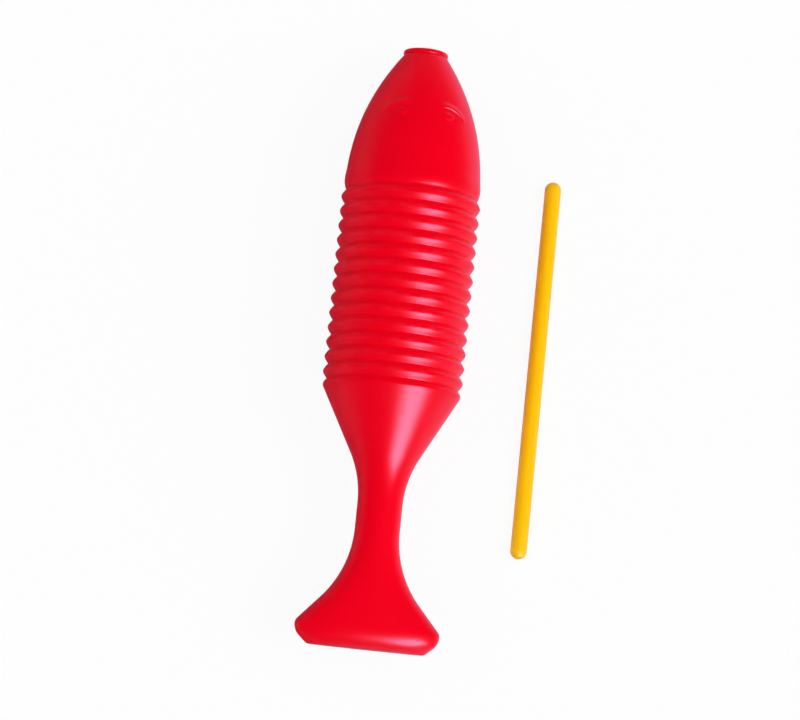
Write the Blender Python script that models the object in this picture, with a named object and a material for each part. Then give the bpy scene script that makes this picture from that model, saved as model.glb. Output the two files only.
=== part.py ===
"""Plastic guiro shaped like a fish, with its loose scraper stick, both lying on a table.

The guiro is one hollow blow-moulded body. Its outline runs along Y from the open mouth (+Y)
to the tail fin (-Y): collar, domed head, a barrel of ribs, a funnel, a round neck, and a
flared fin that ends in a flat base. The wall follows the ribs inside and outside.
The stick lies beside it, parallel to it. Units are metres, +Z is up, the table is Z = 0.
"""
import math

import bmesh
import bpy
from mathutils import Matrix, Vector

# Body, shared sizes
SEGMENTS = 36
WALL = 0.0018
STEEPEST = 1.1
SLOPE_STEP = 0.0004

# Mouth: a short collar round the sound hole, with a fine undercut below it
MOUTH_RADIUS = 0.0092
COLLAR_RADIUS = 0.0115
COLLAR_HEIGHT = 0.0024
COLLAR_ROUND = 0.0009
UNDERCUT_HEIGHT = 0.0005
UNDERCUT_DEPTH = 0.0002

# Head: a dome cut from a longer curve, then a shoulder that rounds over into the first groove
HEAD_TOP_RADIUS = 0.0115
HEAD_LENGTH = 0.0619
HEAD_CURVE_LENGTH = 0.0755
HEAD_CURVE_RADIUS = 0.03485
HEAD_POWER = 2.34
SHOULDER_LENGTH = 0.0111
SHOULDER_SLOPE = 0.45

# Ribs: rounded crests with sharp grooves between them
RIB_COUNT = 13
RIB_PITCH = 0.00757
RIB_RADIUS = 0.0358
RIB_DEPTH = 0.00235
RIB_POWER = 1.25
INNER_RIB_DEPTH = 0.0015

# Funnel: a lip out of the last groove, a rounded rim, a straight cone and an arc to the neck
LIP_ANGLE = math.radians(37.5)
FUNNEL_RADIUS = 0.0352
FUNNEL_ROUND = 0.0020
CONE_ANGLE = math.radians(28.25)
FUNNEL_WAIST = 0.0540
NECK_RADIUS = 0.01143
NECK_LENGTH = 0.01316

# Tail fin: an arc and straight sides to a tight corner, a rounder heel, a chamfer, a flat base
FIN_WAIST = 0.0542
FLARE_ANGLE = math.radians(41.75)
FIN_WIDTH = 0.0736
FIN_CORNER = 0.0035
FIN_HEEL = 0.0082
CHAMFER_ANGLE = math.radians(48.0)
CHAMFER_LENGTH = 0.0032
BASE_CORNER = 0.0025
FIN_THICKNESS = 0.0266
BASE_THICKNESS = 0.0100
BASE_ROUND = 0.0105
FIN_POWER = 2.2
FIN_SQUARED_AT = 0.8

# Brows: a crescent ridge over each eye, gentle towards the mouth and steep towards the eye
BROW_FROM_MOUTH = 0.0330
BROW_FROM_TOP = 0.0105
BROW_ARC = 0.0134
BROW_START = math.radians(-14.0)
BROW_END = math.radians(60.0)
BROW_WIDTH = 0.0036
BROW_STEP = 0.0006
BROW_HEIGHT = 0.0008
BROW_SWELL = 0.62

# Eyes: a small dome in the crescent's hollow, its mouth side against the ridge
EYE_FROM_TOP = 0.0116
EYE_BEHIND_BROW = 0.0030
EYE_WIDTH = 0.0065
EYE_LENGTH = 0.0056
EYE_HEIGHT = 0.0013

# Scraper stick
STICK_LENGTH = 0.200
STICK_RADIUS = 0.0043
STICK_SEGMENTS = 20
STICK_OFFSET = 0.0776
STICK_SHIFT = 0.0016

# Radii at which the stretches of the outline meet
GROOVE_RADIUS = RIB_RADIUS - RIB_DEPTH
LIP_TOP = FUNNEL_RADIUS - FUNNEL_ROUND * (1 - math.cos(LIP_ANGLE))
CONE_TOP = FUNNEL_RADIUS - FUNNEL_ROUND * (1 - math.cos(CONE_ANGLE))
CONE_FOOT = NECK_RADIUS + FUNNEL_WAIST * (1 - math.cos(CONE_ANGLE))
FLARE_TOP = NECK_RADIUS + FIN_WAIST * (1 - math.cos(FLARE_ANGLE))
FLARE_FOOT = FIN_WIDTH / 2 - FIN_CORNER * (1 - math.cos(FLARE_ANGLE))
CHAMFER_TOP = FIN_WIDTH / 2 - FIN_HEEL * (1 - math.cos(CHAMFER_ANGLE))
CHAMFER_FOOT = CHAMFER_TOP - CHAMFER_LENGTH * math.tan(CHAMFER_ANGLE)

# Lengths of the stretches, in order from the mouth rim
LENGTHS = {
    "collar": COLLAR_HEIGHT,
    "undercut": UNDERCUT_HEIGHT,
    "head": HEAD_LENGTH,
    "shoulder": SHOULDER_LENGTH,
    "ribs": RIB_COUNT * RIB_PITCH,
    "lip": (LIP_TOP - GROOVE_RADIUS) / math.tan(LIP_ANGLE),
    "rim": FUNNEL_ROUND * (math.sin(LIP_ANGLE) + math.sin(CONE_ANGLE)),
    "cone": (CONE_TOP - CONE_FOOT) / math.tan(CONE_ANGLE),
    "funnel_waist": FUNNEL_WAIST * math.sin(CONE_ANGLE),
    "neck": NECK_LENGTH,
    "fin_waist": FIN_WAIST * math.sin(FLARE_ANGLE),
    "flare": (FLARE_FOOT - FLARE_TOP) / math.tan(FLARE_ANGLE),
    "corner": FIN_CORNER * math.sin(FLARE_ANGLE),
    "heel": FIN_HEEL * math.sin(CHAMFER_ANGLE),
    "chamfer": CHAMFER_LENGTH,
    "base_corner": BASE_CORNER * (1 - math.sin(CHAMFER_ANGLE)),
}
BODY_LENGTH = sum(LENGTHS.values())


def starts():
    """Distance from the mouth rim at which each stretch of the body begins."""
    begin, at = {}, 0.0
    for name, length in LENGTHS.items():
        begin[name] = at
        at += length
    return begin


STARTS = starts()
NECK_END = STARTS["fin_waist"]
FIN_START = STARTS["corner"]
WIDEST = max(FIN_WIDTH / 2, RIB_RADIUS)
AXIS_X = (WIDEST - STICK_OFFSET - STICK_RADIUS) / 2
AXIS_Z = max(RIB_RADIUS, FUNNEL_RADIUS, FIN_THICKNESS / 2)


def clear_scene():
    for old in list(bpy.data.objects):
        bpy.data.objects.remove(old, do_unlink=True)


def ease(t, start, end, start_slope=0.0, end_slope=0.0):
    """Smooth curve from start to end with the given slopes, for t from 0 to 1."""
    rise = t * t * (3 - 2 * t)
    return (start + (end - start) * rise
            + start_slope * t * (1 - t) ** 2
            - end_slope * t * t * (1 - t))


def rib_shape(t):
    """Height of a rib across one pitch: 0 in the grooves, 1 on the crest."""
    return 1 - abs(2 * t - 1) ** RIB_POWER


def head_radius(x):
    """The dome's radius at the length x from its top."""
    return HEAD_CURVE_RADIUS - (HEAD_CURVE_RADIUS - HEAD_TOP_RADIUS) * (
        1 - x / HEAD_CURVE_LENGTH) ** HEAD_POWER


def shoulder_radius(x):
    """From the dome's slope, over a rounded edge, down into the first groove."""
    start = head_radius(HEAD_LENGTH)
    slope = HEAD_POWER * (HEAD_CURVE_RADIUS - start) / (HEAD_CURVE_LENGTH - HEAD_LENGTH)
    return ease(x / SHOULDER_LENGTH, start, GROOVE_RADIUS,
                slope * SHOULDER_LENGTH, -SHOULDER_SLOPE * SHOULDER_LENGTH)


def arc_in(x, radius):
    """How far a hollow arc has left the neck at the length x along it."""
    return radius - math.sqrt(radius * radius - x * x)


def arc_out(x, radius, widest):
    """A rounded corner at the length x past its widest place."""
    return widest - radius + math.sqrt(max(0.0, radius * radius - x * x))


def half_width(distance):
    """Half width of the body at a distance from the mouth rim."""
    name = [key for key in STARTS if distance >= STARTS[key] - 1e-9][-1]
    x = max(0.0, distance - STARTS[name])
    if name == "collar":
        return COLLAR_RADIUS
    if name == "undercut":
        return HEAD_TOP_RADIUS - UNDERCUT_DEPTH * math.sin(math.pi * x / UNDERCUT_HEIGHT)
    if name == "head":
        return head_radius(x)
    if name == "shoulder":
        return shoulder_radius(x)
    if name == "ribs":
        return GROOVE_RADIUS + RIB_DEPTH * rib_shape(x / RIB_PITCH % 1)
    if name == "lip":
        return GROOVE_RADIUS + x * math.tan(LIP_ANGLE)
    if name == "rim":
        return arc_out(x - FUNNEL_ROUND * math.sin(LIP_ANGLE), FUNNEL_ROUND, FUNNEL_RADIUS)
    if name == "cone":
        return CONE_TOP - x * math.tan(CONE_ANGLE)
    if name == "funnel_waist":
        return NECK_RADIUS + arc_in(LENGTHS[name] - x, FUNNEL_WAIST)
    if name == "neck":
        return NECK_RADIUS
    if name == "fin_waist":
        return NECK_RADIUS + arc_in(x, FIN_WAIST)
    if name == "flare":
        return FLARE_TOP + x * math.tan(FLARE_ANGLE)
    if name == "corner":
        return arc_out(LENGTHS[name] - x, FIN_CORNER, FIN_WIDTH / 2)
    if name == "heel":
        return arc_out(x, FIN_HEEL, FIN_WIDTH / 2)
    if name == "chamfer":
        return CHAMFER_TOP - x * math.tan(CHAMFER_ANGLE)
    turned = BASE_CORNER * math.sin(CHAMFER_ANGLE) + x
    widest = CHAMFER_FOOT + BASE_CORNER * (1 - math.cos(CHAMFER_ANGLE))
    return arc_out(turned, BASE_CORNER, widest)


def half_thickness(distance):
    """Half thickness of the body: its half width, until the fin flattens it."""
    if distance <= NECK_END:
        return half_width(distance)
    to_base = min(1.0, max(0.0, BODY_LENGTH - distance) / BASE_ROUND)
    rounding = (FIN_THICKNESS - BASE_THICKNESS) / 2 * (1 - math.sqrt(to_base * (2 - to_base)))
    flattening = min(1.0, (distance - NECK_END) / (FIN_START - NECK_END))
    return ease(flattening, NECK_RADIUS, FIN_THICKNESS / 2) - rounding


def roundness(distance):
    """Power of the section: 2 is an ellipse, more is a rounded rectangle."""
    squaring = (distance - NECK_END) / (FIN_START - NECK_END) / FIN_SQUARED_AT
    return ease(min(1.0, max(0.0, squaring)), 2, FIN_POWER)


def slope_of(measure, distance):
    """How fast a half width or half thickness grows along the body."""
    rise = measure(distance + SLOPE_STEP) - measure(distance - SLOPE_STEP)
    return rise / (2 * SLOPE_STEP)


def section(distance, width, thickness, power, segments=SEGMENTS):
    """Points of one closed section across the Y axis, its flats square to X and Z.

    The facets touch the true curve from outside, so the sizes are those across the flats.
    """
    reach = math.cos(math.pi / segments) ** (2 / power)
    points = []
    for step in range(segments):
        angle = 2 * math.pi * (step + 0.5) / segments
        across = abs(math.cos(angle)) ** (2 / power) / reach
        upward = abs(math.sin(angle)) ** (2 / power) / reach
        points.append(Vector((math.copysign(across * width, math.cos(angle)),
                              -distance,
                              math.copysign(upward * thickness, math.sin(angle)))))
    return points


def outer_section(distance):
    """The outside of the body at a distance from the mouth rim."""
    return section(distance, half_width(distance), half_thickness(distance), roundness(distance))


def inner_section(distance):
    """The inside, one wall in from the outside and square to its slope."""
    insets = []
    for measure in (half_width, half_thickness):
        slope = min(abs(slope_of(measure, distance)), STEEPEST)
        insets.append(measure(distance) - WALL * math.sqrt(1 + slope * slope))
    return section(distance, insets[0], insets[1], roundness(distance))


def face_outwards(mesh):
    """Turn every face of a closed solid to point out of it."""
    bmesh.ops.recalc_face_normals(mesh, faces=mesh.faces)
    if mesh.calc_volume(signed=True) < 0:
        bmesh.ops.reverse_faces(mesh, faces=mesh.faces)


def skin(mesh, sections):
    """Faces between one closed section and the next. Returns the loops of vertices."""
    loops = [[mesh.verts.new(point) for point in points] for points in sections]
    for first, second in zip(loops, loops[1:]):
        count = len(first)
        for step in range(count):
            following = (step + 1) % count
            mesh.faces.new((first[step], first[following], second[following], second[step]))
    return loops


def places(name, fractions):
    """Distances from the mouth rim of some fractions of one stretch."""
    return [STARTS[name] + t * LENGTHS[name] for t in fractions]


def outer_distances():
    """Distance of every outer section between the rim and the base."""
    distances = [COLLAR_ROUND, COLLAR_HEIGHT - COLLAR_ROUND]
    distances += places("undercut", (0.5,))
    distances += places("head", (0, 0.05, 0.12, 0.2, 0.29, 0.39, 0.5, 0.62, 0.75, 0.88))
    distances += places("shoulder", (0, 0.35, 0.65, 0.85))
    for rib in range(RIB_COUNT):
        distances += [STARTS["ribs"] + (rib + t) * RIB_PITCH for t in (0, 0.3, 0.5, 0.7)]
    distances += places("lip", (0,))
    distances += places("rim", (0, 0.45))
    distances += places("cone", (0,))
    distances += places("funnel_waist", (0, 0.25, 0.5, 0.75))
    distances += places("neck", (0,))
    distances += places("fin_waist", (0, 0.2, 0.4, 0.6, 0.8))
    distances += places("flare", (0, 0.5))
    distances += places("corner", (0, 0.5))
    distances += places("heel", (0, 0.35, 0.65, 0.85))
    distances += places("chamfer", (0, 0.4, 0.75))
    distances += places("base_corner", (0, 0.6, 1))
    return distances


def inner_distances(before_ribs):
    """Distances of the inner sections in the head, or in the funnel, neck and fin."""
    if before_ribs:
        return places("head", (0.12, 0.25, 0.4, 0.58, 0.8)) + places("shoulder", (0.3,))
    distances = places("cone", (0, 1))
    distances += places("funnel_waist", (0.33, 0.67))
    distances += places("neck", (0, 1))
    distances += places("fin_waist", (0.25, 0.5, 0.75, 1))
    distances += places("corner", (0,))
    distances += places("heel", (0, 0.5, 1))
    return distances + [BODY_LENGTH - WALL]


def inner_rib_sections():
    """The inside of the ribs: the same waves, softer, one wall in from the grooves."""
    sections = []
    for half_step in range(2 * RIB_COUNT + 1):
        crest = half_step % 2
        radius = GROOVE_RADIUS - WALL + INNER_RIB_DEPTH * crest
        distance = STARTS["ribs"] + half_step * RIB_PITCH / 2
        sections.append(section(distance, radius, radius, 2))
    return sections


def body_mesh():
    """The hollow moulding: outside, base, inside, and the rim that joins them at the mouth."""
    mesh = bmesh.new()
    rim_radius = COLLAR_RADIUS - COLLAR_ROUND
    sections = [section(0, rim_radius, rim_radius, 2)]
    sections += [outer_section(distance) for distance in outer_distances()]
    outside = skin(mesh, sections)
    mesh.faces.new(outside[-1])

    bore = [section(distance, MOUTH_RADIUS, MOUTH_RADIUS, 2)
            for distance in (0, STARTS["head"])]
    head = [inner_section(distance) for distance in inner_distances(True)]
    tail = [inner_section(distance) for distance in inner_distances(False)]
    inside = skin(mesh, bore + head + inner_rib_sections() + tail)
    mesh.faces.new(inside[-1])

    count = len(outside[0])
    for step in range(count):
        following = (step + 1) % count
        mesh.faces.new((outside[0][step], outside[0][following],
                        inside[0][following], inside[0][step]))
    face_outwards(mesh)
    return mesh


def on_head(side, distance, around):
    """Place and directions on the head: outwards, towards the mouth, and round from the top.

    side is 1 or -1, distance is measured from the mouth rim, and around is a length from the
    top of the head, measured along the ring on which the brow has its peak.
    """
    radius = half_width(distance)
    angle = side * around / half_width(BROW_FROM_MOUTH)
    radial = Vector((math.sin(angle), 0, math.cos(angle)))
    outward = (radial + Vector((0, slope_of(half_width, distance), 0))).normalized()
    about = Vector((math.cos(angle), 0, -math.sin(angle))) * side
    forward = outward.cross(about) * side
    return radial * radius + Vector((0, -distance, 0)), outward, forward, about


def eye_mesh(side):
    """The low dome of an eye, half sunk into the head."""
    mesh = bmesh.new()
    place, outward, forward, about = on_head(side, BROW_FROM_MOUTH + EYE_BEHIND_BROW, EYE_FROM_TOP)
    sizes = (EYE_WIDTH / 2, EYE_LENGTH / 2, EYE_HEIGHT)
    axes = Matrix((about, forward, outward)).transposed().to_4x4()
    turned = Matrix.Translation(place) @ axes @ Matrix.Diagonal((*sizes, 1))
    bmesh.ops.create_uvsphere(mesh, u_segments=16, v_segments=8, radius=1, matrix=turned)
    face_outwards(mesh)
    return mesh


def brow_mesh(side):
    """The crescent ridge: a wedge swept along an arc, sunk into the head at its foot and ends."""
    mesh = bmesh.new()
    steps = 12
    sunk = -BROW_HEIGHT / 2
    centre = BROW_FROM_MOUTH + BROW_ARC
    loops = []
    for step in range(steps + 1):
        t = step / steps
        turn = BROW_START + (BROW_END - BROW_START) * t
        crest = sunk + (BROW_HEIGHT - sunk) * math.sqrt(math.sin(math.pi * t))
        profile = (
            (BROW_WIDTH, sunk),
            (BROW_WIDTH / 2, sunk + (crest - sunk) * BROW_SWELL),
            (0, crest),
            (-BROW_STEP, sunk),
            (BROW_WIDTH / 3, 2 * sunk),
        )
        loop = []
        for out, height in profile:
            distance = centre - (BROW_ARC + out) * math.cos(turn)
            around = BROW_FROM_TOP + (BROW_ARC + out) * math.sin(turn)
            place, outward, forward, about = on_head(side, distance, around)
            loop.append(mesh.verts.new(place + outward * height))
        loops.append(loop)
    for first, second in zip(loops, loops[1:]):
        for corner in range(len(first)):
            following = (corner + 1) % len(first)
            mesh.faces.new((first[corner], first[following], second[following], second[corner]))
    mesh.faces.new(loops[0])
    mesh.faces.new(loops[-1])
    face_outwards(mesh)
    return mesh


def stick_mesh():
    """A plain round rod with hemispherical ends."""
    mesh = bmesh.new()
    ring_angles = [math.radians(degrees) for degrees in (18, 36, 54, 72, 90)]
    sections = []
    for angle in ring_angles:
        radius = STICK_RADIUS * math.sin(angle)
        distance = STICK_RADIUS * (1 - math.cos(angle))
        sections.append(section(distance, radius, radius, 2, STICK_SEGMENTS))
    for angle in reversed(ring_angles):
        radius = STICK_RADIUS * math.sin(angle)
        distance = STICK_LENGTH - STICK_RADIUS * (1 - math.cos(angle))
        sections.append(section(distance, radius, radius, 2, STICK_SEGMENTS))
    loops = skin(mesh, sections)
    for loop, distance in ((loops[0], 0), (loops[-1], STICK_LENGTH)):
        tip = mesh.verts.new((0, -distance, 0))
        for step in range(STICK_SEGMENTS):
            mesh.faces.new((loop[step], loop[(step + 1) % STICK_SEGMENTS], tip))
    face_outwards(mesh)
    return mesh


def plastic(name, colour, roughness):
    material = bpy.data.materials.new(name)
    material.use_nodes = True
    shader = material.node_tree.nodes["Principled BSDF"]
    shader.inputs["Base Color"].default_value = (*colour, 1)
    shader.inputs["Roughness"].default_value = roughness
    shader.inputs["Metallic"].default_value = 0
    return material


def add_object(name, mesh, location, material):
    data = bpy.data.meshes.new(name)
    mesh.to_mesh(data)
    mesh.free()
    data.materials.append(material)
    data.shade_smooth()
    data.set_sharp_from_angle(angle=math.radians(35))
    piece = bpy.data.objects.new(name, data)
    piece.location = location
    bpy.context.scene.collection.objects.link(piece)
    return piece


def join_solid(piece, extra):
    """Unite a helper solid with a piece, so that both are one moulding."""
    extra.hide_render = True
    extra.display_type = "WIRE"
    union = piece.modifiers.new(extra.name, "BOOLEAN")
    union.operation = "UNION"
    union.solver = "EXACT"
    union.object = extra


def build():
    clear_scene()
    red = plastic("red_plastic", (0.80, 0.004, 0.012), 0.32)
    yellow = plastic("yellow_plastic", (0.98, 0.50, 0.008), 0.38)

    mouth_rim = Vector((AXIS_X, BODY_LENGTH / 2, AXIS_Z))
    body = add_object("guiro_body", body_mesh(), mouth_rim, red)
    for side, word in ((-1, "left"), (1, "right")):
        join_solid(body, add_object(f"brow_{word}", brow_mesh(side), mouth_rim, red))
        join_solid(body, add_object(f"eye_{word}", eye_mesh(side), mouth_rim, red))

    stick_tip = Vector((AXIS_X + STICK_OFFSET, STICK_SHIFT + STICK_LENGTH / 2, STICK_RADIUS))
    add_object("scraper_stick", stick_mesh(), stick_tip, yellow)


build()
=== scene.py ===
import math

import bmesh
import bpy
from mathutils import Matrix, Vector


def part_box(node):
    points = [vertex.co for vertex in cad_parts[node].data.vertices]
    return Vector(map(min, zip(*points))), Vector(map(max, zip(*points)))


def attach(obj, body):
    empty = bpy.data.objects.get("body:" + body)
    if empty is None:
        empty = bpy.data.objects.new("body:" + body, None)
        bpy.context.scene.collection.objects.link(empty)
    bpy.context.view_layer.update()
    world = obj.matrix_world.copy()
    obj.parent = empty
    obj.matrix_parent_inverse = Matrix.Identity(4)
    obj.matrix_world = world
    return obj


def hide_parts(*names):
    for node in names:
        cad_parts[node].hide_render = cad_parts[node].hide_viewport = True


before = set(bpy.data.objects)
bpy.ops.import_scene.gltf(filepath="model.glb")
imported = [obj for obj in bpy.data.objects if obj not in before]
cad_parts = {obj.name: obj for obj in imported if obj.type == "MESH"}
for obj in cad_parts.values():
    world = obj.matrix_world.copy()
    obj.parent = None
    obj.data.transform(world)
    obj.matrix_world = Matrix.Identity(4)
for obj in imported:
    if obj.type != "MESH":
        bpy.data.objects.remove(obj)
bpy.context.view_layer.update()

# Places read from the frame: the guiro's axis and mouth rim, and the stick's box
BODY_LOW, BODY_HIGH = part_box("guiro_body")
STICK_LOW, STICK_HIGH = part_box("scraper_stick")
AXIS_X = (BODY_LOW.x + BODY_HIGH.x) / 2
AXIS_Z = (BODY_LOW.z + BODY_HIGH.z) / 2
RIM_Y = BODY_HIGH.y

# Lengths are in metres, and the sizes are those of the solids. Only the shoulder's slope, the ribs'
# power and the brows and eyes stand a little off them, so that the highlights fall as they should.

# Wall: its inside follows slopes up to the steepest one, measured over a step each way
WALL = 0.0018
STEEPEST = 1.1
SLOPE_STEP = 0.0004

# Mouth
MOUTH_RADIUS = 0.0092
COLLAR_RADIUS = 0.0115
COLLAR_HEIGHT = 0.0024
COLLAR_ROUND = 0.0009
UNDERCUT_HEIGHT = 0.0005
UNDERCUT_DEPTH = 0.0002

# Head and shoulder
HEAD_TOP_RADIUS = 0.0115
HEAD_LENGTH = 0.0619
HEAD_CURVE_LENGTH = 0.0755
HEAD_CURVE_RADIUS = 0.03485
HEAD_POWER = 2.34
SHOULDER_LENGTH = 0.0111
SHOULDER_SLOPE = 0.70

# Ribs. The rounding of a groove is a share of half a pitch, and only this skin has it
RIB_COUNT = 13
RIB_PITCH = 0.00757
RIB_RADIUS = 0.0358
RIB_DEPTH = 0.00235
RIB_POWER = 1.40
INNER_RIB_DEPTH = 0.0015
GROOVE_ROUND = 0.05

# Funnel and neck
LIP_ANGLE = math.radians(37.5)
FUNNEL_RADIUS = 0.0352
FUNNEL_ROUND = 0.0020
CONE_ANGLE = math.radians(28.25)
FUNNEL_WAIST = 0.0540
NECK_RADIUS = 0.01143
NECK_LENGTH = 0.01316

# Tail fin
FIN_WAIST = 0.0542
FLARE_ANGLE = math.radians(41.75)
FIN_WIDTH = 0.0736
FIN_CORNER = 0.0035
FIN_HEEL = 0.0082
CHAMFER_ANGLE = math.radians(48.0)
CHAMFER_LENGTH = 0.0032
BASE_CORNER = 0.0025
FIN_THICKNESS = 0.0266
BASE_THICKNESS = 0.0100
BASE_ROUND = 0.0105
ELLIPSE = 2.0
FIN_POWER = 2.2
FIN_SQUARED_AT = 0.8

# Brows and eyes, as lengths round from the top and along from the mouth. A brow fades in from its
# ends, an eye swells from its front, and a power blends the two
BROW_FROM_MOUTH = 0.0334
BROW_FROM_TOP = 0.0105
BROW_ARC = 0.0134
BROW_START = math.radians(-20.0)
BROW_END = math.radians(60.0)
BROW_WIDTH = 0.0040
BROW_STEP = 0.0006
BROW_HEIGHT = 0.0010
BROW_FADE = 3.2
EYE_FROM_TOP = 0.0116
EYE_BEHIND_BROW = 0.0041
EYE_WIDTH = 0.0065
EYE_LENGTH = 0.0056
EYE_HEIGHT = 0.0010
EYE_FULLNESS = 0.6
EYE_FRONT = 1.3
BLEND_POWER = 4

# Seam of the two mould halves: it fades out at the rim and the base, and where the fin is widest
SEAM_WIDTH = 0.00018
SEAM_HEIGHT = 0.00010
SEAM_FREE = 0.0003
SEAM_FADE_AT_FIN = 0.0008
SEAM_FADE_AT_RIM = 0.001
SEAM_FADE_AT_BASE = 0.002

# Scar in the base, where the tube was pinched shut: a shallow slot with a low bead along its middle
SCAR_HALF_LENGTH = 0.0250
SCAR_RECESS = 0.00045
SCAR_HALF_WIDTH = 0.0009
SCAR_EDGE = 0.4 * SCAR_HALF_WIDTH
BEAD_HALF_WIDTH = 0.4 * SCAR_HALF_WIDTH
BEAD_EDGE = 0.3 * SCAR_HALF_WIDTH
BEAD_SHARE = 0.6

# Rubbing: how closely it keeps to the crests, and its share on the seam
CREST_KEEP = 4.0
SEAM_RUB = 0.6

# Columns of points round a section, in degrees from the top: first, step and count of each run,
# and for the seam the places on either side of it
TOP_COLUMNS = (0.0, 2.7, 3)
EYE_COLUMNS = (8.0, 0.75, 64)
SIDE_COLUMNS = (56.0, 3.2, 10)
SEAM_COLUMNS = (-1.8, -1.0, -0.55, -0.25, 0.0, 0.25, 0.55, 1.0, 1.8)
BOTTOM_COLUMNS = (95.0, 3.4, 25)

# Rings of points along the outside: how many a stretch gets, where they lie close together at the
# eyes, and their shares of a rib and of the base
COLLAR_TURNS = 5
UNDERCUT_RINGS = 4
FRONT_RINGS = 14
EYES_FROM = 0.0285
EYES_TO = 0.0430
EYES_STEP = 0.0003
CHEEK_RINGS = 11
SHOULDER_RINGS = 12
RIB_RINGS = (0.03, 0.07, 0.14, 0.26, 0.38, 0.5, 0.62, 0.74, 0.86, 0.93, 0.97, 1)
LATER_RINGS = {
    "lip": 3, "rim": 8, "cone": 8, "funnel_waist": 14, "neck": 4,
    "fin_waist": 18, "flare": 8, "corner": 5, "heel": 14, "chamfer": 10,
}
BASE_TURNS = 8
BASE_RINGS = (0.97, 0.85, 0.6, 0.35, 0.2, 0.145, 0.12, 0.09, 0.06, 0.035, 0.012)

# Rings of the inside: distances in the mouth, and shares of the stretches behind it
MOUTH_RINGS = (0, 0.0004, 0.0014, 0.0028)
INNER_RINGS = {
    "head": (0.12, 0.25, 0.4, 0.58, 0.8), "shoulder": (0.3,),
    "cone": (0, 1), "funnel_waist": (0.33, 0.67), "neck": (0, 1),
    "fin_waist": (0.25, 0.5, 0.75, 1), "corner": (0,), "heel": (0, 0.5, 1),
}

# Edges sharper than this are shaded sharp
SHARP_ANGLE = math.radians(60)

# Points of the stick, and the length over which its ends are rubbed
STICK_SIDES = 64
STICK_TURNS = 16
STICK_RINGS = 60
STICK_RUBBED = 0.02

# Radii at which the stretches of the outline meet
GROOVE_RADIUS = RIB_RADIUS - RIB_DEPTH
LIP_TOP = FUNNEL_RADIUS - FUNNEL_ROUND * (1 - math.cos(LIP_ANGLE))
CONE_TOP = FUNNEL_RADIUS - FUNNEL_ROUND * (1 - math.cos(CONE_ANGLE))
CONE_FOOT = NECK_RADIUS + FUNNEL_WAIST * (1 - math.cos(CONE_ANGLE))
FLARE_TOP = NECK_RADIUS + FIN_WAIST * (1 - math.cos(FLARE_ANGLE))
FLARE_FOOT = FIN_WIDTH / 2 - FIN_CORNER * (1 - math.cos(FLARE_ANGLE))
CHAMFER_TOP = FIN_WIDTH / 2 - FIN_HEEL * (1 - math.cos(CHAMFER_ANGLE))
CHAMFER_FOOT = CHAMFER_TOP - CHAMFER_LENGTH * math.tan(CHAMFER_ANGLE)
LENGTHS = {
    "collar": COLLAR_HEIGHT,
    "undercut": UNDERCUT_HEIGHT,
    "head": HEAD_LENGTH,
    "shoulder": SHOULDER_LENGTH,
    "ribs": RIB_COUNT * RIB_PITCH,
    "lip": (LIP_TOP - GROOVE_RADIUS) / math.tan(LIP_ANGLE),
    "rim": FUNNEL_ROUND * (math.sin(LIP_ANGLE) + math.sin(CONE_ANGLE)),
    "cone": (CONE_TOP - CONE_FOOT) / math.tan(CONE_ANGLE),
    "funnel_waist": FUNNEL_WAIST * math.sin(CONE_ANGLE),
    "neck": NECK_LENGTH,
    "fin_waist": FIN_WAIST * math.sin(FLARE_ANGLE),
    "flare": (FLARE_FOOT - FLARE_TOP) / math.tan(FLARE_ANGLE),
    "corner": FIN_CORNER * math.sin(FLARE_ANGLE),
    "heel": FIN_HEEL * math.sin(CHAMFER_ANGLE),
    "chamfer": CHAMFER_LENGTH,
    "base_corner": BASE_CORNER * (1 - math.sin(CHAMFER_ANGLE)),
}
BODY_LENGTH = sum(LENGTHS.values())


def starts():
    """Distance from the mouth rim at which each stretch of the body begins."""
    begin, at = {}, 0.0
    for name, length in LENGTHS.items():
        begin[name] = at
        at += length
    return begin


STARTS = starts()
NECK_END = STARTS["fin_waist"]
FIN_START = STARTS["corner"]

# A distance this near the start of a stretch is in it
TOUCH = 1e-9


def ease(t, start, end, start_slope=0.0, end_slope=0.0):
    """Smooth curve from start to end with the given slopes, for t from 0 to 1."""
    rise = t * t * (3 - 2 * t)
    return (start + (end - start) * rise
            + start_slope * t * (1 - t) ** 2
            - end_slope * t * t * (1 - t))


def smooth_step(t):
    """A smooth rise from 0 to 1 as t goes from 0 to 1, and level outside."""
    return ease(min(1.0, max(0.0, t)), 0.0, 1.0)


def head_radius(x):
    return HEAD_CURVE_RADIUS - (HEAD_CURVE_RADIUS - HEAD_TOP_RADIUS) * (
        1 - x / HEAD_CURVE_LENGTH) ** HEAD_POWER


def shoulder_radius(x):
    start = head_radius(HEAD_LENGTH)
    slope = HEAD_POWER * (HEAD_CURVE_RADIUS - start) / (HEAD_CURVE_LENGTH - HEAD_LENGTH)
    return ease(x / SHOULDER_LENGTH, start, GROOVE_RADIUS,
                slope * SHOULDER_LENGTH, -SHOULDER_SLOPE * SHOULDER_LENGTH)


def arc_in(x, radius):
    """How far an arc that sets out along the axis has risen after x."""
    return radius - math.sqrt(radius * radius - x * x)


def arc_out(x, radius, widest):
    """Half width on a rounded edge, at x from its widest place."""
    return widest - radius + math.sqrt(max(0.0, radius * radius - x * x))


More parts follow.
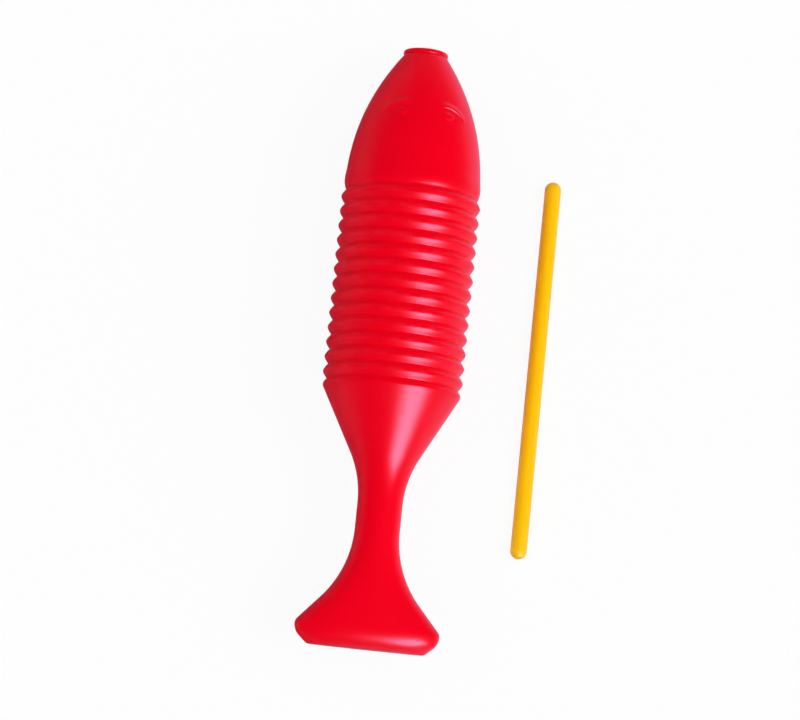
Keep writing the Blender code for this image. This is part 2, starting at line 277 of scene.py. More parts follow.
def half_width(distance):
    """Half width of the smooth body, without its ribs, at a distance from the mouth rim."""
    name = [key for key in STARTS if distance >= STARTS[key] - TOUCH][-1]
    x = max(0.0, distance - STARTS[name])
    if name == "collar":
        return COLLAR_RADIUS
    if name == "undercut":
        return HEAD_TOP_RADIUS - UNDERCUT_DEPTH * math.sin(math.pi * x / UNDERCUT_HEIGHT)
    if name == "head":
        return head_radius(x)
    if name == "shoulder":
        return shoulder_radius(x)
    if name == "ribs":
        return GROOVE_RADIUS
    if name == "lip":
        return GROOVE_RADIUS + x * math.tan(LIP_ANGLE)
    if name == "rim":
        return arc_out(x - FUNNEL_ROUND * math.sin(LIP_ANGLE), FUNNEL_ROUND, FUNNEL_RADIUS)
    if name == "cone":
        return CONE_TOP - x * math.tan(CONE_ANGLE)
    if name == "funnel_waist":
        return NECK_RADIUS + arc_in(LENGTHS[name] - x, FUNNEL_WAIST)
    if name == "neck":
        return NECK_RADIUS
    if name == "fin_waist":
        return NECK_RADIUS + arc_in(x, FIN_WAIST)
    if name == "flare":
        return FLARE_TOP + x * math.tan(FLARE_ANGLE)
    if name == "corner":
        return arc_out(LENGTHS[name] - x, FIN_CORNER, FIN_WIDTH / 2)
    if name == "heel":
        return arc_out(x, FIN_HEEL, FIN_WIDTH / 2)
    if name == "chamfer":
        return CHAMFER_TOP - x * math.tan(CHAMFER_ANGLE)
    turned = BASE_CORNER * math.sin(CHAMFER_ANGLE) + x
    widest = CHAMFER_FOOT + BASE_CORNER * (1 - math.cos(CHAMFER_ANGLE))
    return arc_out(turned, BASE_CORNER, widest)


def half_thickness(distance):
    """Half thickness of the body: its half width, until the fin flattens it."""
    if distance <= NECK_END:
        return half_width(distance)
    to_base = min(1.0, max(0.0, BODY_LENGTH - distance) / BASE_ROUND)
    rounding = (FIN_THICKNESS - BASE_THICKNESS) / 2 * (1 - math.sqrt(to_base * (2 - to_base)))
    flattening = min(1.0, (distance - NECK_END) / (FIN_START - NECK_END))
    return ease(flattening, NECK_RADIUS, FIN_THICKNESS / 2) - rounding


def roundness(distance):
    """Power of the section: 2 is an ellipse, more is a rounded rectangle."""
    squaring = (distance - NECK_END) / (FIN_START - NECK_END) / FIN_SQUARED_AT
    return ease(min(1.0, max(0.0, squaring)), ELLIPSE, FIN_POWER)


def slope_of(measure, distance):
    """How much a measure grows per metre at a distance from the rim."""
    rise = measure(distance + SLOPE_STEP) - measure(distance - SLOPE_STEP)
    return rise / (2 * SLOPE_STEP)


def even_steps(first, step, count):
    return [first + step * place for place in range(count)]


def column_angles():
    """Angles from the top to the bottom and up the other side, close at the eyes and the seam."""
    angles = even_steps(*TOP_COLUMNS) + even_steps(*EYE_COLUMNS) + even_steps(*SIDE_COLUMNS)
    angles += [90.0 + offset for offset in SEAM_COLUMNS]
    angles += even_steps(*BOTTOM_COLUMNS)
    half = [math.radians(angle) for angle in angles]
    return half + [math.pi] + [-angle for angle in reversed(half[1:])]


COLUMNS = column_angles()


def ring(distance, width, thickness, power):
    """One closed section, from the top round by the right, the bottom and the left."""
    points = []
    for angle in COLUMNS:
        across = math.copysign(abs(math.sin(angle)) ** (2 / power), math.sin(angle))
        upward = math.copysign(abs(math.cos(angle)) ** (2 / power), math.cos(angle))
        points.append(Vector((AXIS_X + across * width, RIM_Y - distance,
                              AXIS_Z + upward * thickness)))
    return points


def round_ring(distance, radius):
    return ring(distance, radius, radius, ELLIPSE)


def brow_height(around, distance):
    """The crescent: a gentle rise on the mouth side of an arc and a steep step behind it."""
    across, along = around - BROW_FROM_TOP, BROW_FROM_MOUTH + BROW_ARC - distance
    past_crest = math.hypot(across, along) - BROW_ARC
    t = (math.atan2(across, along) - BROW_START) / (BROW_END - BROW_START)
    if not 0 < t < 1 or not -BROW_STEP < past_crest < BROW_WIDTH:
        return 0.0
    fade = smooth_step(min(t, 1 - t) * BROW_FADE)
    if past_crest < 0:
        return BROW_HEIGHT * fade * smooth_step(1 + past_crest / BROW_STEP)
    return BROW_HEIGHT * fade * math.cos(math.pi / 2 * past_crest / BROW_WIDTH) ** 2


def eye_height(around, distance):
    """The dome of an eye, gentle on the mouth side and steep behind."""
    across = (around - EYE_FROM_TOP) / (EYE_WIDTH / 2)
    along = (distance - BROW_FROM_MOUTH - EYE_BEHIND_BROW) / (EYE_LENGTH / 2)
    dome = max(0.0, 1 - across * across - along * along) ** EYE_FULLNESS
    return EYE_HEIGHT * dome * smooth_step((along + 1) / EYE_FRONT)


def head_ring(distance):
    """A section of the head, lifted square to its slope where the brows and eyes are."""
    radius = half_width(distance)
    slope = slope_of(half_width, distance)
    lean = math.sqrt(1 + slope * slope)
    brow_ring = half_width(BROW_FROM_MOUTH)
    points = round_ring(distance, radius)
    for angle, point in zip(COLUMNS, points):
        around = abs(angle) * brow_ring
        brow, eye = brow_height(around, distance), eye_height(around, distance)
        lift = (brow ** BLEND_POWER + eye ** BLEND_POWER) ** (1 / BLEND_POWER)
        point.x += math.sin(angle) * lift / lean
        point.z += math.cos(angle) * lift / lean
        point.y += slope * lift / lean
    return points


def spread(name, count):
    """Evenly spaced distances along a stretch, its end included."""
    return [STARTS[name] + LENGTHS[name] * step / count for step in range(1, count + 1)]


def collar_rings():
    """The rounded rim, the collar's side and its rounded lower edge."""
    rings = []
    upper, lower = range(COLLAR_TURNS + 1), range(COLLAR_TURNS, 2 * COLLAR_TURNS)
    for middle, turns in ((COLLAR_ROUND, upper), (COLLAR_HEIGHT - COLLAR_ROUND, lower)):
        for step in turns:
            turn = math.pi / (2 * COLLAR_TURNS) * step
            distance = middle - COLLAR_ROUND * math.cos(turn)
            radius = COLLAR_RADIUS - COLLAR_ROUND * (1 - math.sin(turn))
            rings.append((distance, round_ring(distance, radius)))
    return rings


def outer_rings():
    """Distance and points of every section of the outside, from the rim to the base."""
    rings = collar_rings()
    rings += [(d, round_ring(d, half_width(d))) for d in spread("undercut", UNDERCUT_RINGS)]
    head_from, head_to = STARTS["head"], STARTS["shoulder"]
    head = [head_from + (EYES_FROM - head_from) * step / FRONT_RINGS
            for step in range(1, FRONT_RINGS)]
    head += even_steps(EYES_FROM, EYES_STEP, int((EYES_TO - EYES_FROM) / EYES_STEP))
    head += [EYES_TO + (head_to - EYES_TO) * step / CHEEK_RINGS for step in range(CHEEK_RINGS + 1)]
    rings += [(d, head_ring(d)) for d in head]
    plain = spread("shoulder", SHOULDER_RINGS)
    for rib in range(RIB_COUNT):
        plain += [STARTS["ribs"] + (rib + t) * RIB_PITCH for t in RIB_RINGS]
    for name, count in LATER_RINGS.items():
        plain += spread(name, count)
    for step in range(1, BASE_TURNS + 1):
        turn = CHAMFER_ANGLE + (math.pi / 2 - CHAMFER_ANGLE) * step / BASE_TURNS
        sunk = BASE_CORNER * (math.sin(turn) - math.sin(CHAMFER_ANGLE))
        plain.append(STARTS["base_corner"] + sunk)
    rings += [(d, ring(d, half_width(d), half_thickness(d), roundness(d))) for d in plain]
    return rings


def base_rings():
    """The flat base, drawn in to the pinch scar that runs across it."""
    rings = []
    wide = half_width(BODY_LENGTH)
    for share in BASE_RINGS:
        thickness = BASE_THICKNESS / 2 * share
        width = SCAR_HALF_LENGTH + (wide - SCAR_HALF_LENGTH) * share
        edge = smooth_step((SCAR_HALF_WIDTH - thickness) / SCAR_EDGE)
        bead = smooth_step((BEAD_HALF_WIDTH - thickness) / BEAD_EDGE)
        distance = BODY_LENGTH - SCAR_RECESS * (edge - BEAD_SHARE * bead)
        rings.append((distance, ring(distance, width, thickness, FIN_POWER)))
    return rings


def inner_rings():
    """Distance and points of every section of the inside, from the rim to the floor."""
    rings = [(d, round_ring(d, MOUTH_RADIUS)) for d in MOUTH_RINGS]
    places = [STARTS["ribs"] + step * RIB_PITCH / 2 for step in range(2 * RIB_COUNT + 1)]
    for name, shares in INNER_RINGS.items():
        places += [STARTS[name] + share * LENGTHS[name] for share in shares]
    places.append(BODY_LENGTH - WALL)
    for distance in sorted(places):
        insets = []
        for measure in (half_width, half_thickness):
            slope = min(abs(slope_of(measure, distance)), STEEPEST)
            insets.append(measure(distance) - WALL * math.sqrt(1 + slope * slope))
        rings.append((distance, ring(distance, insets[0], insets[1], roundness(distance))))
    return rings


def link(name, data):
    """A new object in the scene that carries the data."""
    piece = bpy.data.objects.new(name, data)
    bpy.context.scene.collection.objects.link(piece)
    return piece


def skin_mesh(name, loops, closing):
    """A mesh over closed loops of points, with a flat face at the ends named in closing."""
    count = len(loops[0])
    points = [point for loop in loops for point in loop]
    faces = []
    for row in range(len(loops) - 1):
        for step in range(count):
            following = (step + 1) % count
            faces.append((row * count + step, row * count + following,
                          (row + 1) * count + following, (row + 1) * count + step))
    for row in closing:
        faces.append([row * count + step for step in range(count)])
    data = bpy.data.meshes.new(name)
    data.from_pydata(points, [], faces)
    return data


def turn_outwards(data):
    """Turns every face of a closed mesh to its outside."""
    mesh = bmesh.new()
    mesh.from_mesh(data)
    bmesh.ops.recalc_face_normals(mesh, faces=mesh.faces)
    if mesh.calc_volume(signed=True) < 0:
        bmesh.ops.reverse_faces(mesh, faces=mesh.faces)
    mesh.to_mesh(data)
    mesh.free()


def store(data, name, values):
    """A number for every point of a mesh."""
    attribute = data.attributes.new(name, "FLOAT", "POINT")
    attribute.data.foreach_set("value", values)


def smooth_body_mesh():
    """The whole skin without ribs, with the places and masks that the ribs and finish read."""
    outside = outer_rings() + base_rings()
    inside = inner_rings()[::-1]
    loops = [points for _, points in inside] + [points for _, points in outside]
    data = skin_mesh("guiro_shell", loops, (0, len(loops) - 1))
    count = len(COLUMNS)
    along = [distance for distance, _ in inside + outside for _ in range(count)]
    outer = [0.0] * (len(inside) * count) + [1.0] * (len(outside) * count)
    room = []
    for distance, _ in inside + outside:
        free = smooth_step((FIN_WIDTH / 2 - SEAM_FREE - half_width(distance)) / SEAM_FADE_AT_FIN)
        begins = smooth_step((distance - COLLAR_HEIGHT) / SEAM_FADE_AT_RIM)
        ends = smooth_step((BODY_LENGTH - distance) / SEAM_FADE_AT_BASE)
        room += [free * begins * ends] * count
    store(data, "along", along)
    store(data, "outside", outer)
    store(data, "seam_room", room)
    turn_outwards(data)
    return data


def add_node(tree, kind, inputs=None, **settings):
    """A new node with its settings, each input joined to a socket or set to a value."""
    node = tree.nodes.new(kind)
    for name, value in settings.items():
        setattr(node, name, value)
    for key, value in (inputs or {}).items():
        if isinstance(value, bpy.types.NodeSocket):
            tree.links.new(value, node.inputs[key])
        else:
            node.inputs[key].default_value = value
    return node


def arithmetic(tree, operation, *values, **settings):
    """The result of one Math node."""
    inputs = dict(enumerate(values))
    return add_node(tree, "ShaderNodeMath", inputs, operation=operation, **settings).outputs[0]


def new_tree(name, kind, inputs, outputs):
    """A node group with named inputs and outputs, and the sockets at its two ends."""
    tree = bpy.data.node_groups.new(name, kind)
    for title, socket, default in inputs:
        made = tree.interface.new_socket(title, in_out="INPUT", socket_type=socket)
        if default is not None:
            made.default_value = default
    for title, socket in outputs:
        tree.interface.new_socket(title, in_out="OUTPUT", socket_type=socket)
    return tree, tree.nodes.new("NodeGroupInput").outputs, tree.nodes.new("NodeGroupOutput").inputs


def rib_tree():
    """Raises the ribs and the mould seam out of the smooth body."""
    tree, given, result = new_tree("barrel_ribs_and_seam", "GeometryNodeTree", (
        ("Geometry", "NodeSocketGeometry", None),
        ("Axis X", "NodeSocketFloat", 0.0),
        ("Axis Z", "NodeSocketFloat", 0.0),
        ("First Groove", "NodeSocketFloat", 0.0),
        ("Rib Pitch", "NodeSocketFloat", 0.01),
        ("Rib Count", "NodeSocketInt", 1),
        ("Rib Depth", "NodeSocketFloat", 0.0),
        ("Rib Power", "NodeSocketFloat", 1.0),
        ("Groove Round", "NodeSocketFloat", 0.0),
        ("Inner Depth", "NodeSocketFloat", 0.0),
        ("Seam Width", "NodeSocketFloat", 0.001),
        ("Seam Height", "NodeSocketFloat", 0.0),
        ("Plastic", "NodeSocketMaterial", None),
    ), (("Geometry", "NodeSocketGeometry"),))

    def math_node(operation, *values, **settings):
        return arithmetic(tree, operation, *values, **settings)

    def vector_node(operation, *values):
        inputs = dict(enumerate(values))
        return add_node(tree, "ShaderNodeVectorMath", inputs, operation=operation).outputs[0]

    def stored(name):
        node = add_node(tree, "GeometryNodeInputNamedAttribute", {"Name": name}, data_type="FLOAT")
        return node.outputs["Attribute"]

    outside = stored("outside")
    turn = math_node("DIVIDE", math_node("SUBTRACT", stored("along"), given["First Groove"]),
                     given["Rib Pitch"])
    after_first = math_node("GREATER_THAN", turn, 0.0)
    before_last = math_node("LESS_THAN", turn, given["Rib Count"])
    on_ribs = math_node("MULTIPLY", after_first, before_last)

    # How far the point is from its nearest groove, 0 in it and 1 on the crest, then rounded
    swing = math_node("ABSOLUTE", math_node("MULTIPLY_ADD", math_node("FRACT", turn), 2.0, -1.0))
    from_groove = math_node("SUBTRACT", 1.0, swing)
    softening = math_node("POWER", given["Groove Round"], 2.0)
    soft = math_node("SQRT", math_node("MULTIPLY_ADD", from_groove, from_groove, softening))
    full = math_node("SUBTRACT", math_node("SQRT", math_node("ADD", 1.0, softening)),
                     given["Groove Round"])
    rise = math_node("DIVIDE", math_node("SUBTRACT", soft, given["Groove Round"]), full)
    from_crest = math_node("SUBTRACT", 1.0, rise, use_clamp=True)
    outer_wave = math_node("SUBTRACT", 1.0, math_node("POWER", from_crest, given["Rib Power"]))
    turned = math_node("MULTIPLY", turn, math.tau)
    inner_wave = math_node("MULTIPLY_ADD", math_node("COSINE", turned), -0.5, 0.5)

    raised = math_node("MULTIPLY", outer_wave, given["Rib Depth"])
    outer_lift = math_node("MULTIPLY", raised, outside)
    inside = math_node("SUBTRACT", 1.0, outside)
    hollowed = math_node("MULTIPLY", inner_wave, given["Inner Depth"])
    inner_lift = math_node("MULTIPLY", hollowed, inside)
    rib_lift = math_node("MULTIPLY", math_node("ADD", outer_lift, inner_lift), on_ribs)

    # The direction straight out from the axis
    place = tree.nodes.new("GeometryNodeInputPosition").outputs[0]
    centre = add_node(tree, "ShaderNodeCombineXYZ", {"X": given["Axis X"], "Z": given["Axis Z"]})
    from_axis = vector_node("MULTIPLY", vector_node("SUBTRACT", place, centre.outputs[0]),
                            (1.0, 0.0, 1.0))
    straight_out = vector_node("NORMALIZE", from_axis)

    # The seam lies in the level plane through the axis
    height = add_node(tree, "ShaderNodeSeparateXYZ", {"Vector": from_axis}).outputs["Z"]
    share = math_node("DIVIDE", height, given["Seam Width"])
    bell = math_node("EXPONENT", math_node("MULTIPLY", math_node("MULTIPLY", share, share), -1.0))
    room = math_node("MULTIPLY", stored("seam_room"), outside)
    seam = math_node("MULTIPLY", bell, room)
    seam_lift = math_node("MULTIPLY", seam, given["Seam Height"])

    offset = add_node(tree, "ShaderNodeVectorMath", {
        0: straight_out, "Scale": math_node("ADD", rib_lift, seam_lift)}, operation="SCALE")
    moved = add_node(tree, "GeometryNodeSetPosition", {
        "Geometry": given["Geometry"], "Offset": offset.outputs[0]})
    crest = math_node("MULTIPLY", math_node("MULTIPLY", outer_wave, outside), on_ribs)
    edges = math_node("MAXIMUM", math_node("POWER", crest, CREST_KEEP),
                      math_node("MULTIPLY", seam, SEAM_RUB))
    marked = add_node(tree, "GeometryNodeStoreNamedAttribute", {
        "Geometry": moved.outputs[0], "Name": "edge", "Value": edges},
        data_type="FLOAT", domain="POINT")
    real = add_node(tree, "GeometryNodeRealizeInstances", {"Geometry": marked.outputs[0]})
    finished = add_node(tree, "GeometryNodeSetMaterial", {
        "Geometry": real.outputs[0], "Material": given["Plastic"]})
    tree.links.new(finished.outputs[0], result["Geometry"])
    return tree


def made_mesh(data, tree, values):
    """The plain mesh that a node tree makes of another, with its named inputs set."""
    carrier = link("carrier", data)
    modifier = carrier.modifiers.new("shape", "NODES")
    modifier.node_group = tree
    for item in tree.interface.items_tree:
        if item.in_out == "INPUT" and item.name in values:
            modifier[item.identifier] = values[item.name]
    bpy.context.view_layer.update()
    graph = bpy.context.evaluated_depsgraph_get()
    made = bpy.data.meshes.new_from_object(carrier.evaluated_get(graph))
    bpy.data.objects.remove(carrier, do_unlink=True)
    return made


def guiro_shell(plastic):
    """The hollow fish-shaped body as one finished mesh."""
    made = made_mesh(smooth_body_mesh(), rib_tree(), {
        "Axis X": AXIS_X, "Axis Z": AXIS_Z,
        "First Groove": STARTS["ribs"], "Rib Pitch": RIB_PITCH, "Rib Count": RIB_COUNT,
        "Rib Depth": RIB_DEPTH, "Rib Power": RIB_POWER, "Groove Round": GROOVE_ROUND,
        "Inner Depth": INNER_RIB_DEPTH,
        "Seam Width": SEAM_WIDTH, "Seam Height": SEAM_HEIGHT,
        "Plastic": plastic,
    })
    made.name = "guiro_shell"
    made.shade_smooth()
    made.set_sharp_from_angle(angle=SHARP_ANGLE)
    return link("guiro_shell", made)


def scraper_rod(plastic):
    """The round rod with rounded ends, marked as rubbed near its ends."""
    radius = (STICK_HIGH.x - STICK_LOW.x) / 2
    middle = (STICK_LOW + STICK_HIGH) / 2
    length = STICK_HIGH.y - STICK_LOW.y
    rows = []
    for step in range(1, STICK_TURNS + 1):
        turn = math.pi / 2 * step / STICK_TURNS
        rows.append((radius * (1 - math.cos(turn)), radius * math.sin(turn)))
    for step in range(1, STICK_RINGS):
        rows.append((radius + (length - 2 * radius) * step / STICK_RINGS, radius))
    rows += [(length - distance, reach) for distance, reach in reversed(rows[:STICK_TURNS])]
    loops, edge = [], []
    for distance, reach in rows:
        loop = []
        for step in range(STICK_SIDES):
            turn = math.tau * step / STICK_SIDES
            loop.append(Vector((middle.x + reach * math.sin(turn), STICK_HIGH.y - distance,
                                middle.z + reach * math.cos(turn))))
        loops.append(loop)
        rubbed = smooth_step(1 - min(distance, length - distance) / STICK_RUBBED)
        edge += [rubbed] * STICK_SIDES
    data = skin_mesh("stick_rod", loops, (0, len(loops) - 1))
    store(data, "edge", edge)
    turn_outwards(data)
    data.materials.append(plastic)
    data.shade_smooth()
    return link("stick_rod", data)


def grain_group():
    """Moulded plastic skin: fine grain, slow clouds of colour, and small dents."""
    tree, given, result = new_tree("moulded_skin", "ShaderNodeTree", (
        ("Vector", "NodeSocketVector", None),
        ("Grain Scale", "NodeSocketFloat", 1000.0),
        ("Cloud Scale", "NodeSocketFloat", 30.0),
        ("Dent Scale", "NodeSocketFloat", 60.0),
    ), (
        ("Grain", "NodeSocketFloat"),
        ("Clouds", "NodeSocketFloat"),
        ("Dents", "NodeSocketFloat"),
    ))
    grain = add_node(tree, "ShaderNodeTexNoise", {
        "Vector": given["Vector"], "Scale": given["Grain Scale"], "Detail": 3.0,
        "Roughness": 0.6})
    clouds = add_node(tree, "ShaderNodeTexNoise", {
        "Vector": given["Vector"], "Scale": given["Cloud Scale"], "Detail": 2.0})
    cells = add_node(tree, "ShaderNodeTexVoronoi", {
        "Vector": given["Vector"], "Scale": given["Dent Scale"]})
    dents = add_node(tree, "ShaderNodeMapRange", {
        "Value": cells.outputs["Distance"], "From Min": 0.02, "From Max": 0.05,
        "To Min": 1.0, "To Max": 0.0}, interpolation_type="SMOOTHSTEP")
    tree.links.new(grain.outputs[0], result["Grain"])
    tree.links.new(clouds.outputs[0], result["Clouds"])
    tree.links.new(dents.outputs["Result"], result["Dents"])
    return tree


def wear_group():
    """Handling wear: fine scratches along the piece, and rubbing where edges stand proud."""
    tree, given, result = new_tree("handling_wear", "ShaderNodeTree", (
        ("Vector", "NodeSocketVector", None),
        ("Edge", "NodeSocketFloat", 0.0),
        ("Scuff Scale", "NodeSocketFloat", 200.0),
        ("Rub Scale", "NodeSocketFloat", 120.0),
    ), (("Scuffs", "NodeSocketFloat"), ("Rubbing", "NodeSocketFloat")))
    stretched = add_node(tree, "ShaderNodeMapping", {
        "Vector": given["Vector"], "Rotation": (0.0, 0.0, 0.5), "Scale": (1.0, 0.12, 1.0)})
    streaks = add_node(tree, "ShaderNodeTexNoise", {
        "Vector": stretched.outputs[0], "Scale": given["Scuff Scale"], "Detail": 4.0})
    scuffs = add_node(tree, "ShaderNodeMapRange", {
        "Value": streaks.outputs[0], "From Min": 0.62, "From Max": 0.78})
    patches = add_node(tree, "ShaderNodeTexNoise", {
        "Vector": given["Vector"], "Scale": given["Rub Scale"], "Detail": 3.0})
    patchy = add_node(tree, "ShaderNodeMapRange", {
        "Value": patches.outputs[0], "From Min": 0.42, "From Max": 0.66})
    rubbing = arithmetic(tree, "MULTIPLY", given["Edge"], patchy.outputs[0])
    tree.links.new(scuffs.outputs[0], result["Scuffs"])
    tree.links.new(rubbing, result["Rubbing"])
    return tree


def moulded_plastic(name, skin, wear, finish):
    """A satin moulded plastic, its own numbers put through the two shared effects."""
    material = bpy.data.materials.new(name)
    material.use_nodes = True
    tree = material.node_tree
    shader = tree.nodes["Principled BSDF"]
    place = tree.nodes.new("ShaderNodeTexCoord").outputs["Object"]
    edge = add_node(tree, "ShaderNodeAttribute", attribute_name="edge").outputs["Fac"]
    surface = add_node(tree, "ShaderNodeGroup", node_tree=skin)
    handled = add_node(tree, "ShaderNodeGroup", node_tree=wear)
    for node, keys in ((surface, ("Grain Scale", "Cloud Scale", "Dent Scale")),
                       (handled, ("Scuff Scale", "Rub Scale"))):
        tree.links.new(place, node.inputs["Vector"])
        for key in keys:
            node.inputs[key].default_value = finish[key]
    tree.links.new(edge, handled.inputs["Edge"])

    def mixed(factor, first, second):
        node = add_node(tree, "ShaderNodeMix", {"Factor": factor}, data_type="RGBA")
        for key, value in (("A", first), ("B", second)):
            socket = [one for one in node.inputs if one.name == key and one.type == "RGBA"][0]
            if isinstance(value, bpy.types.NodeSocket):
                tree.links.new(value, socket)
            else:
                socket.default_value = (*value, 1)
        return [one for one in node.outputs if one.type == "RGBA"][0]

    def weighed(value, weight, added=0.0):
        return arithmetic(tree, "MULTIPLY_ADD", value, weight, added)

    clouded = mixed(surface.outputs["Clouds"], finish["colour"], finish["cloud_colour"])
    rubbed = weighed(handled.outputs["Rubbing"], finish["rubbing"])
    tree.links.new(mixed(rubbed, clouded, finish["rubbed_colour"]), shader.inputs["Base Color"])

    rough = weighed(surface.outputs["Clouds"], finish["rough_clouds"], finish["roughness"])
    rough = weighed(handled.outputs["Scuffs"], finish["rough_scuffs"], rough)
    rough = weighed(handled.outputs["Rubbing"], finish["rough_rubbing"], rough)
    tree.links.new(rough, shader.inputs["Roughness"])

    height = weighed(surface.outputs["Grain"], finish["grain_depth"])
    height = weighed(surface.outputs["Dents"], -finish["dent_depth"], height)
    height = weighed(handled.outputs["Scuffs"], -finish["scuff_depth"], height)
    bump = add_node(tree, "ShaderNodeBump", {
        "Strength": 1.0, "Distance": MILLIMETRE, "Height": height})
    tree.links.new(bump.outputs[0], shader.inputs["Normal"])
    shader.inputs["Specular IOR Level"].default_value = finish["specular"]
    shader.inputs["Specular Tint"].default_value = (*finish["specular_tint"], 1)
    return material


# Finish of each piece: its colours, pattern scales and roughness, and its depths in millimetres
MILLIMETRE = 0.001
RED_FINISH = {
    "colour": (0.90, 0.0004, 0.0125), "cloud_colour": (0.87, 0.0002, 0.0108),
    "rubbed_colour": (0.94, 0.020, 0.050),
    "Grain Scale": 1500.0, "Cloud Scale": 28.0, "Dent Scale": 55.0,
    "Scuff Scale": 260.0, "Rub Scale": 140.0,
    "roughness": 0.27, "rough_clouds": 0.05, "rough_scuffs": 0.10, "rough_rubbing": 0.10,
    "grain_depth": 0.010, "dent_depth": 0.012, "scuff_depth": 0.004, "rubbing": 0.35,
    "specular": 0.5, "specular_tint": (1.0, 0.42, 0.72),
}
YELLOW_FINISH = {
    "colour": (0.97, 0.57, 0.0030), "cloud_colour": (0.95, 0.54, 0.0026),
    "rubbed_colour": (0.96, 0.60, 0.030),
    "Grain Scale": 2200.0, "Cloud Scale": 40.0, "Dent Scale": 90.0,
    "Scuff Scale": 420.0, "Rub Scale": 300.0,
    "roughness": 0.34, "rough_clouds": 0.06, "rough_scuffs": 0.12, "rough_rubbing": 0.12,
    "grain_depth": 0.008, "dent_depth": 0.010, "scuff_depth": 0.005, "rubbing": 0.45,
    "specular": 0.5, "specular_tint": (1.0, 0.95, 0.8),
}

# Studio: a white table, soft lamps all round, and a soft box over the tail that the gloss mirrors
SOFT_BOX_DIRECTION = Vector((0.47, -0.70, 0.545))
SOFT_BOX_DISTANCE = 1.5
SOFT_BOX_SIZE = (0.75, 0.75)
SOFT_BOX_POWER = 27.0

# Soft lamps: name, direction towards the lamp, level, and spread in degrees
SOFT_LAMPS = (
    ("main", (0.50, -0.10, 0.86), 0.30, 30.0),
    ("overhead", (0.0, -0.1, 1.0), 0.52, 100.0),
    ("left", (-1.0, 0.0, 0.25), 0.31, 80.0),
    ("right", (1.0, 0.0, 0.25), 0.46, 80.0),
    ("tail", (0.0, -1.0, 0.35), 0.09, 80.0),
    ("mouth", (0.0, 1.0, 0.35), 0.03, 80.0),
)

# Table: how far it reaches, its paper, and the share of plain white that the camera sees
TABLE_REACH = 9.0
PAPER_COLOUR = (0.80, 0.80, 0.80)
PAPER_ROUGHNESS = 0.9
TABLE_SHOWN = 0.93

# The table in the gloss is a painted reflection, a pink glow that only reflections see. Its level
# and colour, the share that is always left, and the places from left to right where it begins to
# rise, is full and has faded
TABLE_MIRRORED = 0.72
PAINTED_REFLECTION_TINT = (1.0, 0.62, 1.0)
TABLE_LEAST = 0.1
TABLE_RISES = -0.08
TABLE_FULL = 0.05
TABLE_FADED = 0.60

# The world in the gloss: its level, how far towards the mouth it rises, and how high up it fades
ROOM_MIRRORED = 0.14
ROOM_RISES = (0.58, 0.76)
ROOM_FADES = (0.20, 0.52)


def mapped(tree, value, low, high, to_low, to_high):
    """A smooth step of one value from one level to another."""
    node = add_node(tree, "ShaderNodeMapRange", {
        "Value": value, "From Min": low, "From Max": high, "To Min": to_low, "To Max": to_high},
        interpolation_type="SMOOTHSTEP")
    return node.outputs["Result"]


def floor_material():
    """White paper that keeps the shadows; in reflections it is only a painted pink glow that fades
    away from the guiro.
    """
    material = bpy.data.materials.new("white_table")
    material.use_nodes = True
    tree = material.node_tree
    shader = tree.nodes["Principled BSDF"]
    shader.inputs["Base Color"].default_value = (*PAPER_COLOUR, 1)
    shader.inputs["Roughness"].default_value = PAPER_ROUGHNESS
    shader.inputs["Specular IOR Level"].default_value = 0.0
    path = tree.nodes.new("ShaderNodeLightPath").outputs
    seen = arithmetic(tree, "MAXIMUM", path["Is Camera Ray"], path["Is Transmission Ray"])
    white = add_node(tree, "ShaderNodeEmission", {"Color": (1, 1, 1, 1), "Strength": 1.0})
    paper = add_node(tree, "ShaderNodeMixShader", {
        0: arithmetic(tree, "MULTIPLY", seen, TABLE_SHOWN),
        1: shader.outputs[0], 2: white.outputs[0]})
    place = tree.nodes.new("ShaderNodeTexCoord").outputs["Object"]
    across = add_node(tree, "ShaderNodeSeparateXYZ", {"Vector": place}).outputs["X"]
    # Painted reflection: this pink glow, dim left of the guiro and brightest just right of it, is
    # all that the gloss sees of the table
    near = mapped(tree, across, TABLE_RISES, TABLE_FULL,
                  TABLE_LEAST * TABLE_MIRRORED, TABLE_MIRRORED)
    far = mapped(tree, across, TABLE_FULL, TABLE_FADED, 1.0, TABLE_LEAST)
    mirrored = add_node(tree, "ShaderNodeEmission", {
        "Color": (*PAINTED_REFLECTION_TINT, 1), "Strength": arithmetic(tree, "MULTIPLY", near, far)})
    mix = add_node(tree, "ShaderNodeMixShader", {
        0: path["Is Glossy Ray"], 1: paper.outputs[0], 2: mirrored.outputs[0]})
    tree.links.new(mix.outputs[0], tree.nodes["Material Output"].inputs["Surface"])
    return material


def floor():
    """The table, one flat square that isn't part of the object."""
    data = bpy.data.meshes.new("table")
    corners = [(x * TABLE_REACH, y * TABLE_REACH, 0)
               for x, y in ((-1, -1), (1, -1), (1, 1), (-1, 1))]
    data.from_pydata(corners, [], [(0, 1, 2, 3)])
    data.materials.append(floor_material())
    link("table", data)


def soft_box():
    """The square lamp whose highlight lies along the guiro; it only shows in the gloss."""
    lamp = bpy.data.lights.new("soft_box", "AREA")
    lamp.shape = "RECTANGLE"
    lamp.size, lamp.size_y = SOFT_BOX_SIZE
    lamp.energy = SOFT_BOX_POWER
    box = link("soft_box", lamp)
    box.location = SOFT_BOX_DIRECTION.normalized() * SOFT_BOX_DISTANCE
    box.rotation_euler = (-SOFT_BOX_DIRECTION).to_track_quat("-Z", "Y").to_euler()
    box.visible_diffuse = False


def soft_lamp(name, direction, level, spread):
    """A wide, far lamp that lights the colour without showing in the gloss."""
    lamp = bpy.data.lights.new(name, "SUN")
    lamp.energy = math.pi * level
    lamp.angle = math.radians(spread)
    lamp.cycles.use_multiple_importance_sampling = False
    sun = link(name, lamp)
    sun.rotation_euler = (-Vector(direction)).to_track_quat("-Z", "Y").to_euler()
    sun.visible_glossy = False


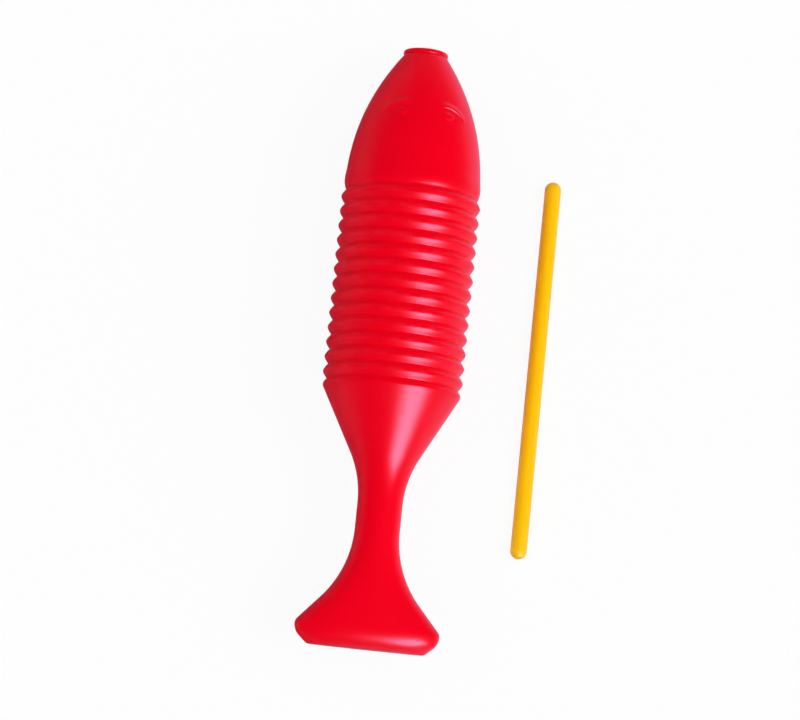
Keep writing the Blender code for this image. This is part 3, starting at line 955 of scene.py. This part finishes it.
def room():
    """A world that is white to the camera, and shows in the gloss only low at the mouth's side."""
    world = bpy.data.worlds.new("studio_room")
    world.use_nodes = True
    world.cycles.sampling_method = "NONE"
    tree = world.node_tree
    direction = tree.nodes.new("ShaderNodeTexCoord").outputs["Generated"]
    parts = add_node(tree, "ShaderNodeSeparateXYZ", {"Vector": direction}).outputs
    towards_mouth = mapped(tree, parts["Y"], *ROOM_RISES, 0.0, ROOM_MIRRORED)
    low = mapped(tree, parts["Z"], *ROOM_FADES, 1.0, 0.0)
    mirrored = arithmetic(tree, "MULTIPLY", towards_mouth, low)
    path = tree.nodes.new("ShaderNodeLightPath").outputs
    level = arithmetic(tree, "MULTIPLY_ADD", path["Is Glossy Ray"], mirrored, path["Is Camera Ray"])
    tree.links.new(level, tree.nodes["Background"].inputs["Strength"])
    tree.nodes["Background"].inputs["Color"].default_value = (1, 1, 1, 1)
    bpy.context.scene.world = world


# Camera: above the table, a little towards the tail and to the left of the guiro. It looks at a
# place just right of the guiro's axis, behind the rim
CAMERA_LENS = 135.0
CAMERA_DISTANCE = 1.5295
CAMERA_BACK = math.radians(8.1)
CAMERA_LEFT = math.radians(6.0)
CAMERA_TILT = math.radians(5.83)
CAMERA_SIGHT = 40.0
TARGET_FROM_AXIS = 0.0027
TARGET_FROM_RIM = 0.1609
CAMERA_TARGET = Vector((AXIS_X + TARGET_FROM_AXIS, RIM_Y - TARGET_FROM_RIM, AXIS_Z))


def camera():
    """The camera, turned a little so that the guiro leans in its picture."""
    away = Vector((-math.sin(CAMERA_LEFT) * math.cos(CAMERA_BACK), -math.sin(CAMERA_BACK),
                   math.cos(CAMERA_LEFT) * math.cos(CAMERA_BACK)))
    right = Vector((0, 1, 0)).cross(away).normalized()
    up = away.cross(right).normalized()
    tilted_right = right * math.cos(CAMERA_TILT) + up * math.sin(CAMERA_TILT)
    tilted_up = up * math.cos(CAMERA_TILT) - right * math.sin(CAMERA_TILT)
    data = bpy.data.cameras.new("view")
    data.lens = CAMERA_LENS
    data.clip_end = CAMERA_SIGHT
    view = link("view", data)
    axes = Matrix((tilted_right, tilted_up, away)).transposed().to_4x4()
    view.matrix_world = Matrix.Translation(CAMERA_TARGET + away * CAMERA_DISTANCE) @ axes
    bpy.context.scene.camera = view


camera()
room()
floor()
soft_box()
for lamp_values in SOFT_LAMPS:
    soft_lamp(*lamp_values)

skin, wear = grain_group(), wear_group()
red = moulded_plastic("red_polyethylene", skin, wear, RED_FINISH)
yellow = moulded_plastic("yellow_polypropylene", skin, wear, YELLOW_FINISH)

shell = guiro_shell(red)
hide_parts("guiro_body")
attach(shell, "guiro")

rod = scraper_rod(yellow)
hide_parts("scraper_stick")
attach(rod, "stick")

bpy.context.scene.view_settings.view_transform = "Standard"
